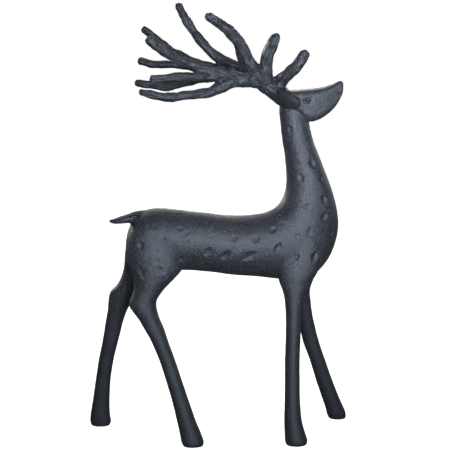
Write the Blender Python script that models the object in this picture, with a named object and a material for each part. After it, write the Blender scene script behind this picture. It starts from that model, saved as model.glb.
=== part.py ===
"""Cast iron stag statue: one casting that stands on four splayed legs.

Metres, +Z up, +X towards the head, the stag's right side faces -Y.
The pose was drawn for a stag 432 mm tall, so the stations below are in millimetres of that drawing
and MM turns them into metres of the height that is asked for.
"""
import math

import bmesh
import bpy
import numpy as np

for item in list(bpy.data.objects):
    bpy.data.objects.remove(item, do_unlink=True)

# Driving sizes of the casting, in metres
HEIGHT = 0.432
BARREL_WIDTH = 0.057
NECK_WIDTH = 0.029
HEAD_WIDTH = 0.027
HIND_TRACK = 0.078
FRONT_TRACK = 0.088
SHIN_WIDTH = 0.0154
ANTLER_SPREAD = 0.086
EAR_THICKNESS = 0.0135
TAIL_WIDTH = 0.014
MARK_WIDTH = 0.0042
MARK_DEPTH = 0.0012
EYE_DEPTH = 0.0010

# Drawing scale, mesh fineness and facet budget
MM = HEIGHT / 432
GRID = 0.00125
FACETS = 9700
IRON_COLOUR = (0.034, 0.037, 0.042, 1.0)

# Trunk and neck: back point (x, z), underside point (x, z), share of the barrel or neck width
TRUNK = (
    ((-91.5, 202), (-92.5, 188), 0.40),
    ((-89, 212), (-90.5, 177), 0.68),
    ((-83.5, 222), (-84, 171), 0.86),
    ((-74, 230), (-73, 168), 0.95),
    ((-57, 232.5), (-56, 168), 0.99),
    ((-34, 230), (-34, 170), 0.97),
    ((-10, 227), (-10, 168), 0.97),
    ((14, 224), (14, 164.5), 1.00),
    ((36, 225), (37, 162.5), 1.01),
    ((50, 228), (60, 159.5), 1.00),
    ((60, 234.5), (87, 157.5), 0.97),
    ((65.7, 245), (107, 174.5), 0.90),
)
NECK = (
    ((67.5, 257), (116.8, 194.5), 1.60),
    ((67, 271), (120, 216), 1.42),
    ((65.5, 285), (115, 243), 1.26),
    ((63, 300), (104, 273), 1.10),
    ((61.3, 315), (94.5, 297), 0.98),
    ((60, 330), (90, 315), 0.88),
    ((62, 342), (88, 330), 0.76),
)

# Head slab: x, jaw z, crown z, share of the head width
HEAD = (
    (57, 337, 343.7, 0.70),
    (63, 331, 347.2, 0.92),
    (71, 330, 348.2, 1.00),
    (78, 327, 348.2, 1.00),
    (84, 320.8, 348.7, 0.99),
    (90, 317.6, 349.2, 0.96),
    (96, 318.4, 349.7, 0.91),
    (102, 320.9, 350.5, 0.83),
    (108, 325, 351.9, 0.73),
    (113, 329.4, 353.7, 0.62),
    (117, 334.3, 355.7, 0.51),
    (120, 339.5, 357.1, 0.42),
    (122.3, 344, 356.7, 0.34),
    (123.2, 348.5, 354, 0.24),
)

# Legs: z, back x, front x, share of the half track, share of the shin's half width
NEAR_HIND = (
    (216, -78, -58, 0.30, 1.72),
    (204, -87, -43, 0.34, 1.88),
    (190.1, -91, -37, 0.38, 2.06),
    (176, -89, -36.4, 0.43, 1.95),
    (165.7, -86.1, -44.4, 0.46, 1.82),
    (155.4, -85.3, -54.8, 0.49, 1.62),
    (145.2, -88.8, -62.2, 0.53, 1.42),
    (139, -90.2, -63.2, 0.55, 1.38),
    (133, -86.5, -62.1, 0.57, 1.30),
    (124.9, -80.7, -59.7, 0.59, 1.19),
    (115, -75.1, -55.5, 0.62, 1.13),
    (105, -69.5, -52.4, 0.66, 1.06),
    (85.2, -61.3, -45.5, 0.72, 1.00),
    (65.3, -55, -39, 0.79, 1.01),
    (45.4, -49.3, -32.6, 0.85, 1.08),
    (25.6, -44.7, -26, 0.92, 1.21),
    (11.8, -41.7, -20.5, 0.96, 1.35),
    (3, -40, -17.4, 1.00, 1.43),
    (0.8, -39, -18, 1.00, 1.35),
    (-2, -37, -20, 1.00, 1.10),
)
FAR_HIND = (
    (215, -80, -60, 0.30, 1.72),
    (204, -87, -48, 0.34, 1.88),
    (189.9, -92, -42, 0.38, 2.06),
    (178.1, -93.2, -43, 0.42, 1.93),
    (167.3, -94.4, -53.1, 0.46, 1.80),
    (157.5, -97.6, -65.2, 0.49, 1.62),
    (150.7, -101.5, -73.3, 0.51, 1.46),
    (143.9, -107.8, -79.9, 0.53, 1.36),
    (135, -109.8, -85.4, 0.56, 1.26),
    (124, -110.8, -91, 0.60, 1.18),
    (113, -112.7, -94.8, 0.64, 1.10),
    (91.8, -116.2, -100.1, 0.70, 1.03),
    (70.6, -120.4, -105.1, 0.77, 1.01),
    (48.5, -123.8, -108.5, 0.84, 1.06),
    (26.3, -127, -109.6, 0.92, 1.19),
    (12.2, -129.3, -109.5, 0.96, 1.32),
    (3, -130, -108.2, 1.00, 1.40),
    (0.8, -129.2, -109, 1.00, 1.32),
    (-2, -127, -111, 1.00, 1.09),
)
NEAR_FRONT = (
    (208, 70, 100, 0.30, 1.58),
    (197.1, 65, 103, 0.34, 1.60),
    (188.1, 61, 103.5, 0.37, 1.58),
    (175.9, 58, 100, 0.41, 1.57),
    (166.7, 57.4, 95.6, 0.44, 1.53),
    (159.6, 58.8, 90.8, 0.46, 1.43),
    (151.5, 61.9, 86.6, 0.49, 1.32),
    (142.3, 64, 82.9, 0.52, 1.22),
    (132.3, 64.7, 81.4, 0.55, 1.14),
    (122.2, 64.9, 80.4, 0.59, 1.09),
    (103.3, 64.6, 79.4, 0.65, 1.03),
    (83.3, 63.6, 78.4, 0.72, 0.99),
    (63.4, 63.4, 78.3, 0.78, 1.00),
    (43.4, 62.9, 78.3, 0.85, 1.06),
    (23.6, 62.2, 79.8, 0.92, 1.21),
    (11.8, 62.5, 82.9, 0.96, 1.34),
    (3, 62.8, 85.4, 1.00, 1.42),
    (0.8, 63.6, 84.6, 1.00, 1.34),
    (-2, 65.6, 82.6, 1.00, 1.10),
)
FAR_FRONT = (
    (208, 72, 102, 0.30, 1.58),
    (196.9, 68, 106, 0.34, 1.60),
    (187.9, 65.5, 108, 0.37, 1.60),
    (175.9, 64, 108, 0.41, 1.60),
    (164.9, 66.1, 103.6, 0.44, 1.56),
    (152.8, 71.6, 98.3, 0.49, 1.43),
    (141.8, 77.3, 95.2, 0.52, 1.27),
    (131, 80.4, 96.2, 0.56, 1.17),
    (120.1, 82.8, 97.7, 0.60, 1.10),
    (109.2, 84.7, 99.9, 0.63, 1.05),
    (87.3, 89.1, 105.6, 0.71, 1.03),
    (65.2, 97.1, 113.2, 0.78, 1.05),
    (42.3, 104.4, 121.4, 0.86, 1.13),
    (20.1, 112.1, 130.3, 0.93, 1.27),
    (9.1, 115.8, 135.4, 0.97, 1.38),
    (3, 117.4, 137.2, 1.00, 1.42),
    (0.8, 118.6, 137.4, 1.00, 1.34),
    (-2, 120.6, 135.4, 1.00, 1.10),
)

# Tail leaf: x, z, half thickness, share of the tail's half width
TAIL = (
    (-68, 226, 5.0, 1.00),
    (-80, 225.3, 4.8, 1.05),
    (-88, 222.8, 4.4, 1.05),
    (-95, 221.4, 3.9, 0.98),
    (-102, 220, 2.8, 0.76),
    (-107.2, 220, 1.6, 0.45),
)

# Ear: x, distance from the middle, z, half breadth, share of the ear's half thickness
EAR = (
    (56.5, 10, 344.5, 6.5, 0.90),
    (60, 15, 343.6, 8.8, 1.00),
    (64, 19.5, 342.4, 9.6, 1.05),
    (68.5, 23.5, 340.6, 9.0, 1.00),
    (72.5, 26, 338.6, 7.0, 0.85),
)
EAR_LEAN = 0.6
EAR_HOLLOW = 0.2

# Antlers: x, share of the half spread, z, radius; each beam first, then its points
KNOT_SWELL = 0.055
KNOT_GAP = 15.0
NEAR_ANTLER = (
    ((66, 0.10, 340, 8.6), (56, 0.17, 347, 9.0), (48.5, 0.24, 353.5, 9.0), (38, 0.33, 359, 8.2),
     (19, 0.47, 361, 7.6), (7, 0.55, 358.4, 7.2), (-4, 0.63, 352.6, 5.9), (-13, 0.71, 349.7, 5.3),
     (-35, 0.84, 347.7, 4.5), (-54, 0.93, 346.8, 4.6), (-76, 1.00, 352, 3.8)),
    ((56, 0.18, 350, 7.4), (62.4, 0.24, 359.2, 6.2), (68.3, 0.33, 366.2, 5.9),
     (74.4, 0.42, 372.2, 5.9), (78.4, 0.45, 378.2, 5.6), (82, 0.47, 385, 4.9)),
    ((44, 0.33, 358, 8.0), (44.5, 0.42, 373, 6.5), (46.3, 0.47, 384, 6.4), (49.5, 0.51, 393, 5.8),
     (53.4, 0.56, 401, 4.9)),
    ((40, 0.34, 358, 8.0), (30.0, 0.47, 373.5, 7.7), (23.4, 0.54, 384.5, 7.1),
     (18.1, 0.63, 396.5, 6.4), (8.6, 0.72, 407.8, 5.7), (-3.6, 0.81, 417.5, 4.9),
     (-11.2, 0.86, 422.8, 4.4)),
    ((18, 0.47, 361, 6.0), (-5, 0.63, 369.6, 4.7), (-30, 0.77, 377.5, 4.6), (-47, 0.88, 385.2, 4.2),
     (-54, 0.93, 389.3, 4.1), (-63, 0.98, 395.7, 4.0), (-69, 1.00, 401.3, 3.8)),
    ((5, 0.57, 363.4, 4.8), (-12, 0.71, 365, 4.5), (-30, 0.83, 366, 4.4), (-44, 0.91, 366.2, 4.2),
     (-54, 0.95, 365.2, 4.1), (-66, 1.00, 364.7, 3.8)),
)
FAR_ANTLER = (
    ((66, 0.10, 340, 8.6), (56, 0.17, 348, 8.8), (44, 0.28, 356, 8.4), (26, 0.47, 361, 7.4),
     (9, 0.60, 362, 6.2), (-2, 0.67, 359.5, 5.4), (-16, 0.74, 357.3, 5.0), (-31, 0.84, 353.5, 5.0),
     (-50, 0.93, 349, 4.8), (-77.4, 1.00, 352.2, 3.8)),
    ((56, 0.30, 350, 7.0), (61, 0.31, 356.5, 5.8), (68, 0.33, 362, 5.2), (75, 0.35, 367, 4.7)),
    ((48, 0.33, 358, 7.6), (49.5, 0.46, 371, 6.1), (51, 0.56, 383, 6.0), (55, 0.63, 391.5, 5.4),
     (58.5, 0.70, 397.5, 4.7)),
    ((40, 0.37, 357, 7.4), (25, 0.47, 367, 6.2), (16.5, 0.54, 371.5, 5.7), (1, 0.65, 379, 5.3),
     (-12.2, 0.74, 391.5, 5.0), (-21.6, 0.84, 403, 4.8), (-29.2, 0.89, 415, 4.7),
     (-35.8, 0.93, 428, 4.2)),
    ((22, 0.49, 361, 6.0), (-5, 0.70, 368.4, 5.0), (-23, 0.79, 373.4, 4.8), (-34, 0.86, 379.7, 4.6),
     (-46, 0.91, 386, 4.4), (-61.5, 0.98, 398.5, 4.1), (-70, 1.00, 405.2, 3.8)),
    ((0, 0.66, 361, 5.4), (-15, 0.74, 365, 4.6), (-28, 0.83, 369.8, 4.2), (-47, 0.93, 371, 4.2),
     (-63, 1.00, 371, 4.1), (-74, 1.02, 374, 3.8)),
)

# Tool marks on each side: x, z, slope in degrees, length, share of the depth
MARKS = (
    (-17, 221, 0, 9, 0.7),
    (11, 224, 0, 8, 0.6),
    (-36, 210, 30, 8, 0.7),
    (-57, 205, 60, 8, 0.7),
    (12, 206, 20, 9, 0.7),
    (35, 204, 30, 8, 0.6),
    (-13, 193, 35, 8, 0.8),
    (4, 189, 35, 11, 1.0),
    (28, 188, 25, 14, 1.0),
    (-78, 200, -85, 9, 1.0),
    (-63, 185, 60, 7, 0.7),
    (-78, 175, -80, 10, 1.0),
    (56, 196, 60, 10, 0.8),
    (61, 227, 50, 8, 0.7),
    (88, 301, -70, 8, 0.8),
    (91, 278, -65, 11, 1.0),
    (101, 262, -85, 8, 0.8),
    (103, 242, 90, 9, 0.8),
    (103, 225, 65, 10, 1.0),
    (93, 186, 60, 12, 1.0),
)

# Eye groove: x, z, half length and half height of its almond
EYE = (87.5, 339.5, 4.6, 2.9)


def curve_rows(rows, step):
    """Catmull-Rom rows through the given rows, about `step` apart along the first three columns."""
    rows = np.array(rows, float)
    rows = np.vstack([2 * rows[0] - rows[1], rows, 2 * rows[-1] - rows[-2]])
    out = []
    for a, b, c, d in zip(rows, rows[1:], rows[2:], rows[3:]):
        count = max(1, round(float(np.linalg.norm(c[:3] - b[:3])) / step))
        for i in range(count):
            t = i / count
            out.append(b + 0.5 * t * ((c - a) + t * (2 * a - 5 * b + 4 * c - d
                                                     + t * (3 * b - 3 * c + d - a))))
    out.append(rows[-2])
    return np.array(out)


def super_ring(centre, across, along, sides, power):
    """One closed ring: a superellipse in the plane of two half axes."""
    turn = np.linspace(0, 2 * math.pi, sides, endpoint=False)
    c, s = np.cos(turn), np.sin(turn)
    c = np.sign(c) * np.abs(c) ** (2 / power)
    s = np.sign(s) * np.abs(s) ** (2 / power)
    return centre + np.outer(c, across) + np.outer(s, along)


def add_loft(shell, rings):
    """Skin a list of rings into one closed shell of the bmesh."""
    rows = [[shell.verts.new(p) for p in ring] for ring in rings]
    for low, high in zip(rows, rows[1:]):
        for i in range(len(low)):
            j = (i + 1) % len(low)
            shell.faces.new((low[i], low[j], high[j], high[i]))
    shell.faces.new(reversed(rows[0]))
    shell.faces.new(rows[-1])


def add_trunk(shell):
    """Trunk and neck as one loft that turns from level to upright."""
    rows = [(*back, *under, share * BARREL_WIDTH / MM / 2) for back, under, share in TRUNK]
    rows += [(*back, *under, share * NECK_WIDTH / MM / 2) for back, under, share in NECK]
    rings = []
    for tx, tz, bx, bz, half in curve_rows(np.array(rows) * MM, 4 * MM):
        top, low = np.array((tx, 0, tz)), np.array((bx, 0, bz))
        rings.append(super_ring((top + low) / 2, (top - low) / 2, np.array((0, half, 0)), 40, 2.15))
    add_loft(shell, rings)


def add_head(shell):
    """Half disc with a level crown, flat on its sides and rounded over along its edges."""
    rings = []
    for x, jaw, crown, half in curve_rows(np.array(HEAD) * (MM, MM, MM, HEAD_WIDTH / 2), 2 * MM):
        rings.append(super_ring(np.array((x, 0, (jaw + crown) / 2)), np.array((0, 0, (crown - jaw) / 2)),
                                np.array((0, half, 0)), 44, 3.1))
    add_loft(shell, rings)


def add_leg(shell, rows, side, track):
    """A leg as level sections, splayed out to its own sole."""
    rings = []
    scale = (MM, MM, MM, side * track / 2, SHIN_WIDTH / 2)
    for z, back, front, y, half in curve_rows(np.array(rows) * scale, 4 * MM):
        rings.append(super_ring(np.array(((back + front) / 2, y, z)), np.array(((front - back) / 2, 0, 0)),
                                np.array((0, half, 0)), 28, 2.2))
    add_loft(shell, rings)


def add_limb(shell, rows, upward, sides=16, hollow=0.0):
    """A round-ended limb through centres, with a half height and a half depth at each row.
    A hollow above 0 sinks the side that faces away from the cross of upward and the run."""
    rows = curve_rows(rows, 2 * MM)
    centres = rows[:, :3]
    run = np.gradient(centres, axis=0)
    run /= np.linalg.norm(run, axis=1)[:, None]
    rings = []
    for centre, ahead, (tall, deep) in zip(centres, run, rows[:, 3:]):
        up = np.array(upward) - ahead * np.dot(upward, ahead)
        up /= np.linalg.norm(up)
        ring = super_ring(centre, up * tall, np.cross(up, ahead) * deep, sides, 2)
        depth = (ring - centre) @ np.cross(up, ahead) / deep * np.sign(hollow)
        sink = abs(hollow) * np.clip(depth, 0, 1) ** 4 * deep * np.sign(hollow)
        rings.append(ring - np.outer(sink * depth, np.cross(up, ahead)))
    end, ahead = centres[-1], run[-1]
    for turn in (25, 50, 70, 84):
        shrink = math.cos(math.radians(turn))
        push = math.sin(math.radians(turn)) * min(rows[-1, 3:])
        rings.append(end + ahead * push + (rings[len(centres) - 1] - end) * shrink)
    add_loft(shell, rings)


def add_ear(shell, side):
    """A thick leaf that leans out over its own hollow."""
    add_limb(shell, np.array(EAR) * (MM, side * MM, MM, MM, EAR_THICKNESS / 2),
             (-0.1, side * EAR_LEAN, 1), 28, side * EAR_HOLLOW)


def add_antler(shell, tines, side):
    """A beam and its five points, all swept back and outwards and swelling at their knots."""
    for number, tine in enumerate(tines):
        rows = np.array([(x, share, z, r, r) for x, share, z, r in tine])
        rows = curve_rows(rows * (MM, side * ANTLER_SPREAD / 2, MM, MM, MM), 2 * MM)
        run = np.append(0, np.cumsum(np.linalg.norm(np.diff(rows[:, :3], axis=0), axis=1)))
        wave = 2 * math.pi * run / (KNOT_GAP * MM)
        rows[:, 3] *= 1 + KNOT_SWELL * np.sin(wave + 2.1 * number + side)
        rows[:, 4] *= 1 + KNOT_SWELL * np.sin(0.62 * wave + 1.3 * number - side)
        add_limb(shell, rows, (0, 1, 0))


def fuse(shell, name):
    """Turn overlapping closed shells into one skin."""
    bmesh.ops.recalc_face_normals(shell, faces=shell.faces)
    mesh = bpy.data.meshes.new(name)
    shell.to_mesh(mesh)
    shell.free()
    body = bpy.data.objects.new(name, mesh)
    bpy.context.collection.objects.link(body)
    skin = body.modifiers.new("skin", "REMESH")
    skin.mode = "VOXEL"
    skin.voxel_size = GRID
    applied = bpy.data.meshes.new_from_object(body.evaluated_get(bpy.context.evaluated_depsgraph_get()))
    body.modifiers.clear()
    body.data = applied
    return body


def soften(mesh, rounds):
    """Round the creases of a mesh without shrinking it, by smoothing in and out in turn."""
    count = len(mesh.vertices)
    points = np.empty(count * 3)
    mesh.vertices.foreach_get("co", points)
    points = points.reshape(-1, 3)
    ends = np.empty(len(mesh.edges) * 2, int)
    mesh.edges.foreach_get("vertices", ends)
    a, b = ends[0::2], ends[1::2]
    weight = np.bincount(a, minlength=count) + np.bincount(b, minlength=count)
    for step in range(rounds * 2):
        pull = np.column_stack([np.bincount(a, points[b, k], count) + np.bincount(b, points[a, k], count)
                                for k in range(3)]) / weight[:, None] - points
        points += pull * (0.60 if step % 2 == 0 else -0.61)
    mesh.vertices.foreach_set("co", points.ravel())
    mesh.update()


def press_marks(mesh):
    """Press the leaf-shaped tool marks and the eyes into both sides."""
    count = len(mesh.vertices)
    points = np.empty(count * 3)
    normals = np.empty(count * 3)
    mesh.vertices.foreach_get("co", points)
    mesh.vertices.foreach_get("normal", normals)
    points, normals = points.reshape(-1, 3), normals.reshape(-1, 3)
    flank = np.clip(np.abs(normals[:, 1]) * 2, 0, 1)
    dent = np.zeros(count)
    for x, z, slope, length, share in MARKS:
        along = math.cos(math.radians(slope)), math.sin(math.radians(slope))
        dx, dz = points[:, 0] - x * MM, points[:, 2] - z * MM
        reach = (dx * along[0] + dz * along[1]) / (length * MM / 2)
        off = (dz * along[0] - dx * along[1]) / (MARK_WIDTH / 2)
        dent = np.maximum(dent, share * MARK_DEPTH * np.exp(-(reach ** 4) - off ** 2))
    x, z, long, tall = (value * MM for value in EYE)
    rim = np.hypot((points[:, 0] - x) / long, (points[:, 2] - z) / tall)
    dent = np.maximum(dent, EYE_DEPTH * np.exp(-((rim - 0.8) / 0.3) ** 2))
    points -= normals * (dent * flank)[:, None]
    mesh.vertices.foreach_set("co", points.ravel())
    mesh.update()


def thin_out(body, facets):
    """Drop the facet count where the surface is nearly flat."""
    thin = body.modifiers.new("facets", "DECIMATE")
    thin.ratio = facets / sum(len(p.vertices) - 2 for p in body.data.polygons)
    body.data = bpy.data.meshes.new_from_object(
        body.evaluated_get(bpy.context.evaluated_depsgraph_get()))
    body.modifiers.clear()


# Trunk, legs and tail are fused first and blended strongly, as the pattern maker filleted them
shell = bmesh.new()
add_trunk(shell)
add_leg(shell, NEAR_HIND, -1, HIND_TRACK)
add_leg(shell, FAR_HIND, 1, HIND_TRACK)
add_leg(shell, NEAR_FRONT, -1, FRONT_TRACK)
add_leg(shell, FAR_FRONT, 1, FRONT_TRACK)
tail = np.array([(x, 0, z, tall, share) for x, z, tall, share in TAIL])
add_limb(shell, tail * (MM, 0, MM, MM, TAIL_WIDTH / 2), (0, 0, 1))
trunk = fuse(shell, "trunk")
soften(trunk.data, 45)

# Head, ears and antlers join it with a tighter fillet
shell = bmesh.new()
shell.from_mesh(trunk.data)
bpy.data.objects.remove(trunk, do_unlink=True)
add_head(shell)
for side in (-1, 1):
    add_ear(shell, side)
add_antler(shell, NEAR_ANTLER, -1)
add_antler(shell, FAR_ANTLER, 1)
stag = fuse(shell, "stag")
soften(stag.data, 5)
press_marks(stag.data)
thin_out(stag, FACETS)

# Cut the soles flat on the floor and centre the figure over the origin
work = bmesh.new()
work.from_mesh(stag.data)
for v in work.verts:
    if abs(v.co.z) < 0.1 * MM:
        v.co.z = 0
cut = bmesh.ops.bisect_plane(work, geom=work.verts[:] + work.edges[:] + work.faces[:], dist=0.001 * MM,
                             plane_co=(0, 0, 0), plane_no=(0, 0, -1), clear_outer=True)
rims = [e for e in cut["geom_cut"] if isinstance(e, bmesh.types.BMEdge)]
bmesh.ops.holes_fill(work, edges=rims)
bmesh.ops.recalc_face_normals(work, faces=work.faces)
middle = [(max(v.co[k] for v in work.verts) + min(v.co[k] for v in work.verts)) / 2 for k in (0, 1)]
bmesh.ops.translate(work, verts=work.verts, vec=(-middle[0], -middle[1], 0))
work.to_mesh(stag.data)
work.free()
for face in stag.data.polygons:
    face.use_smooth = True

iron = bpy.data.materials.new("black_cast_iron")
iron.use_nodes = True
shade = iron.node_tree.nodes["Principled BSDF"]
shade.inputs["Base Color"].default_value = IRON_COLOUR
shade.inputs["Roughness"].default_value = 0.62
shade.inputs["Metallic"].default_value = 0.35
stag.data.materials.clear()
stag.data.materials.append(iron)
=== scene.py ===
"""Cast iron stag statue, dressed: one black casting with carved relief, on a pale studio floor.

Metres, +Z up, +X towards the head; the side that the photograph shows faces -Y.
"""
import math

import bmesh
import bpy
import numpy as np
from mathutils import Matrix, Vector


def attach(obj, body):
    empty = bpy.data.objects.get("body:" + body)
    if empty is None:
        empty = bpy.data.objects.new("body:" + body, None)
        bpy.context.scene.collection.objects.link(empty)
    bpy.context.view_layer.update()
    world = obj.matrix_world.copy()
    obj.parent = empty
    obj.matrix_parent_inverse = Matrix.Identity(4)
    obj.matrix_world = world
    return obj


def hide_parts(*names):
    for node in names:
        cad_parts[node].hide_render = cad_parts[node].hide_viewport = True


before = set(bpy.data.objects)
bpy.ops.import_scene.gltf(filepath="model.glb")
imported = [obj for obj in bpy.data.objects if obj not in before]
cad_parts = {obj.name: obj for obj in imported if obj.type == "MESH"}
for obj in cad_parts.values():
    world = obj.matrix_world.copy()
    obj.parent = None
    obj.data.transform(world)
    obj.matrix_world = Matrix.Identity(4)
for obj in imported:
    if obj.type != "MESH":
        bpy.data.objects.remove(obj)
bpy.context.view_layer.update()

# Trunk and neck: an oval barrel with a dip behind the shoulders, which turns up into a long neck.
# It is cast iron, in one with the legs, so it is lofted first and they are fused to it.
# Stations are in millimetres of a stag 432 mm tall: back point, underside point, share of the width.
HEIGHT = 0.432
MM = HEIGHT / 432
BARREL_WIDTH = 0.057
NECK_WIDTH = 0.029
RING_GAP = 3 * MM
TRUNK_SIDES, TRUNK_SQUARENESS = 64, 2.15
TRUNK = (
    ((-91.5, 202), (-92.5, 188), 0.40),
    ((-89, 212), (-90.5, 177), 0.68),
    ((-83.5, 222), (-84, 171), 0.86),
    ((-74, 230), (-73, 168), 0.95),
    ((-57, 232.5), (-56, 168), 0.99),
    ((-34, 230), (-34, 170), 0.97),
    ((-10, 227), (-10, 168), 0.97),
    ((14, 224), (14, 164.5), 1.00),
    ((36, 225), (37, 162.5), 1.01),
    ((50, 228), (60, 159.5), 1.00),
    ((60, 234.5), (87, 157.5), 0.97),
    ((65.7, 245), (107, 174.5), 0.90),
)
NECK = (
    ((67.5, 257), (116.8, 194.5), 1.60),
    ((67, 271), (120, 216), 1.42),
    ((65.5, 285), (115, 243), 1.26),
    ((63, 300), (104, 273), 1.10),
    ((61.3, 315), (94.5, 297), 0.98),
    ((60, 330), (90, 315), 0.88),
    ((62, 342), (88, 330), 0.76),
)


def curve_rows(rows, step):
    """Catmull-Rom rows through the given rows, about `step` apart along the first three columns."""
    rows = np.array(rows, float)
    rows = np.vstack([2 * rows[0] - rows[1], rows, 2 * rows[-1] - rows[-2]])
    out = []
    for a, b, c, d in zip(rows, rows[1:], rows[2:], rows[3:]):
        count = max(1, round(float(np.linalg.norm(c[:3] - b[:3])) / step))
        for i in range(count):
            t = i / count
            out.append(b + 0.5 * t * ((c - a) + t * (2 * a - 5 * b + 4 * c - d
                                                     + t * (3 * b - 3 * c + d - a))))
    out.append(rows[-2])
    return np.array(out)


def super_ring(centre, across, along, sides, power):
    """One closed ring: a superellipse in the plane of two half axes."""
    turn = np.linspace(0, 2 * math.pi, sides, endpoint=False)
    c, s = np.cos(turn), np.sin(turn)
    c = np.sign(c) * np.abs(c) ** (2 / power)
    s = np.sign(s) * np.abs(s) ** (2 / power)
    return centre + np.outer(c, across) + np.outer(s, along)


def add_loft(shell, rings):
    """Skin a list of rings into one closed shell of the bmesh."""
    rows = [[shell.verts.new(p) for p in ring] for ring in rings]
    for low, high in zip(rows, rows[1:]):
        for i in range(len(low)):
            j = (i + 1) % len(low)
            shell.faces.new((low[i], low[j], high[j], high[i]))
    shell.faces.new(reversed(rows[0]))
    shell.faces.new(rows[-1])


shell = bmesh.new()
rows = [(*back, *under, share * BARREL_WIDTH / MM / 2) for back, under, share in TRUNK]
rows += [(*back, *under, share * NECK_WIDTH / MM / 2) for back, under, share in NECK]
rings = []
for back_x, back_z, under_x, under_z, half in curve_rows(np.array(rows) * MM, RING_GAP):
    top, low = np.array((back_x, 0, back_z)), np.array((under_x, 0, under_z))
    rings.append(super_ring((top + low) / 2, (top - low) / 2, np.array((0, half, 0)),
                            TRUNK_SIDES, TRUNK_SQUARENESS))
add_loft(shell, rings)

# Legs: four tapering iron legs, splayed in walking pose, each flared into its own flat foot.
# They grow out of the barrel as haunches and shoulders, and have no hooves modelled on them.
# Stations: height, back edge, front edge, share of the half track, share of the shin's half width.
HIND_TRACK = 0.078
FRONT_TRACK = 0.088
SHIN_WIDTH = 0.0154
LEG_SIDES, LEG_SQUARENESS = 40, 2.2
NEAR_HIND = (
    (216, -78, -58, 0.30, 1.72),
    (204, -87, -43, 0.34, 1.88),
    (190.1, -91, -37, 0.38, 2.06),
    (176, -89, -36.4, 0.43, 1.95),
    (165.7, -86.1, -44.4, 0.46, 1.82),
    (155.4, -85.3, -54.8, 0.49, 1.62),
    (145.2, -88.8, -62.2, 0.53, 1.42),
    (139, -90.2, -63.2, 0.55, 1.38),
    (133, -86.5, -62.1, 0.57, 1.30),
    (124.9, -80.7, -59.7, 0.59, 1.19),
    (115, -75.1, -55.5, 0.62, 1.13),
    (105, -69.5, -52.4, 0.66, 1.06),
    (85.2, -61.3, -45.5, 0.72, 1.00),
    (65.3, -55, -39, 0.79, 1.01),
    (45.4, -49.3, -32.6, 0.85, 1.08),
    (25.6, -44.7, -26, 0.92, 1.21),
    (11.8, -41.7, -20.5, 0.96, 1.35),
    (3, -40, -17.4, 1.00, 1.43),
    (0.8, -39, -18, 1.00, 1.35),
    (-2, -37, -20, 1.00, 1.10),
)
FAR_HIND = (
    (215, -80, -60, 0.30, 1.72),
    (204, -87, -48, 0.34, 1.88),
    (189.9, -92, -42, 0.38, 2.06),
    (178.1, -93.2, -43, 0.42, 1.93),
    (167.3, -94.4, -53.1, 0.46, 1.80),
    (157.5, -97.6, -65.2, 0.49, 1.62),
    (150.7, -101.5, -73.3, 0.51, 1.46),
    (143.9, -107.8, -79.9, 0.53, 1.36),
    (135, -109.8, -85.4, 0.56, 1.26),
    (124, -110.8, -91, 0.60, 1.18),
    (113, -112.7, -94.8, 0.64, 1.10),
    (91.8, -116.2, -100.1, 0.70, 1.03),
    (70.6, -120.4, -105.1, 0.77, 1.01),
    (48.5, -123.8, -108.5, 0.84, 1.06),
    (26.3, -127, -109.6, 0.92, 1.19),
    (12.2, -129.3, -109.5, 0.96, 1.32),
    (3, -130, -108.2, 1.00, 1.40),
    (0.8, -129.2, -109, 1.00, 1.32),
    (-2, -127, -111, 1.00, 1.09),
)
NEAR_FRONT = (
    (208, 70, 100, 0.30, 1.58),
    (197.1, 65, 103, 0.34, 1.60),
    (188.1, 61, 103.5, 0.37, 1.58),
    (175.9, 58, 100, 0.41, 1.57),
    (166.7, 57.4, 95.6, 0.44, 1.53),
    (159.6, 58.8, 90.8, 0.46, 1.43),
    (151.5, 61.9, 86.6, 0.49, 1.32),
    (142.3, 64, 82.9, 0.52, 1.22),
    (132.3, 64.7, 81.4, 0.55, 1.14),
    (122.2, 64.9, 80.4, 0.59, 1.09),
    (103.3, 64.6, 79.4, 0.65, 1.03),
    (83.3, 63.6, 78.4, 0.72, 0.99),
    (63.4, 63.4, 78.3, 0.78, 1.00),
    (43.4, 62.9, 78.3, 0.85, 1.06),
    (23.6, 62.2, 79.8, 0.92, 1.21),
    (11.8, 62.5, 82.9, 0.96, 1.34),
    (3, 62.8, 85.4, 1.00, 1.42),
    (0.8, 63.6, 84.6, 1.00, 1.34),
    (-2, 65.6, 82.6, 1.00, 1.10),
)
FAR_FRONT = (
    (208, 72, 102, 0.30, 1.58),
    (196.9, 68, 106, 0.34, 1.60),
    (187.9, 65.5, 108, 0.37, 1.60),
    (175.9, 64, 108, 0.41, 1.60),
    (164.9, 66.1, 103.6, 0.44, 1.56),
    (152.8, 71.6, 98.3, 0.49, 1.43),
    (141.8, 77.3, 95.2, 0.52, 1.27),
    (131, 80.4, 96.2, 0.56, 1.17),
    (120.1, 82.8, 97.7, 0.60, 1.10),
    (109.2, 84.7, 99.9, 0.63, 1.05),
    (87.3, 89.1, 105.6, 0.71, 1.03),
    (65.2, 97.1, 113.2, 0.78, 1.05),
    (42.3, 104.4, 121.4, 0.86, 1.13),
    (20.1, 112.1, 130.3, 0.93, 1.27),
    (9.1, 115.8, 135.4, 0.97, 1.38),
    (3, 117.4, 137.2, 1.00, 1.42),
    (0.8, 118.6, 137.4, 1.00, 1.34),
    (-2, 120.6, 135.4, 1.00, 1.10),
)


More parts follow.
